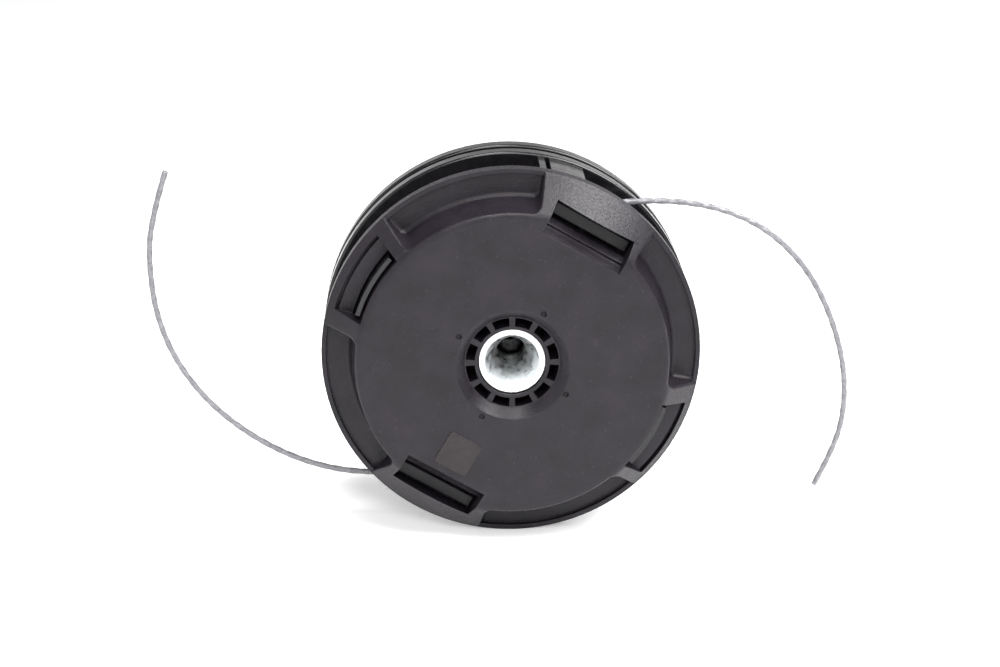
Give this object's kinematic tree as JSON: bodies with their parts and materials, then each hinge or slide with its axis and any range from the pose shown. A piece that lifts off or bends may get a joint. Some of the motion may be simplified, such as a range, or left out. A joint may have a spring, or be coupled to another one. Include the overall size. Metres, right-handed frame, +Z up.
{
  "type": "string reel",
  "caption": "Round bump-feed line head for a grass trimmer: a disc casing, a wound reel, a bump knob and free ends of nylon line.",
  "frame": {"origin": "centre of the arbor bore's mouth, where the insert's cone ends", "axes": "Y is the spin axis, with -Y towards the gearbox and +Y towards the ground; Z is up and X is across, as the head stands on its rim"},
  "size_m": [0.2447, 0.0743, 0.13],
  "materials": {
    "casing_nylon": "fine spark-eroded texture, charcoal",
    "cover_nylon": "smooth moulded black",
    "latch_nylon": "smooth moulded black",
    "spool_nylon": "smooth moulded black",
    "knob_nylon": "smooth moulded black",
    "bush_acetal": "moulded natural",
    "insert_zinc": "turned, bright zinc plate",
    "eyelet_steel": "turned and tumbled",
    "spring_steel": "drawn wire",
    "washer_steel": "pressed, zinc plate",
    "fastener_steel": "zinc plate",
    "line_nylon": "extruded twisted nylon, silver grey"
  },
  "bodies": {
    "casing": {"upper_housing": "casing_nylon", "arbor_insert": "insert_zinc", "lower_cover": "cover_nylon", "compression_spring": "spring_steel", "eyelet_right": "eyelet_steel", "eyelet_left": "eyelet_steel", "line_lead_right": "line_nylon", "line_lead_left": "line_nylon", "line_end_right": "line_nylon", "line_end_left": "line_nylon"},
    "washer": {"thrust_washer": "washer_steel"},
    "reel": {"spool": "spool_nylon", "spool_bush": "bush_acetal", "line_winding_front": "line_nylon", "line_winding_rear": "line_nylon", "bump_knob": "knob_nylon", "knob_washer": "fastener_steel", "knob_bolt": "fastener_steel", "knob_nut": "fastener_steel"},
    "right_latch": {"latch_arm_right": "latch_nylon"},
    "left_latch": {"latch_arm_left": "latch_nylon"}
  },
  "joints": [
    {"name": "bump_slide", "type": "slide", "parent": "casing", "child": "washer", "axis": [0, -1, 0], "range_m": [0, 0.005], "stiffness_N_per_m": 2500, "springref_m": -0.008, "deforming": ["compression_spring"]},
    {"name": "reel_spin", "type": "hinge", "parent": "washer", "child": "reel", "pos_m": [0, 0, 0], "axis": [0, 1, 0], "continuous": true},
    {"name": "right_latch_press", "type": "hinge", "parent": "casing", "child": "right_latch", "pos_m": [0.02683, 0.0382, 0.04646], "axis": [0.866, 0, -0.5], "range_deg": [0, 1.3], "stiffness_Nm_per_rad": 25},
    {"name": "left_latch_press", "type": "hinge", "parent": "casing", "child": "left_latch", "pos_m": [-0.02683, 0.0382, -0.04646], "axis": [-0.866, 0, 0.5], "range_deg": [0, 1.3], "stiffness_Nm_per_rad": 25}
  ]
}
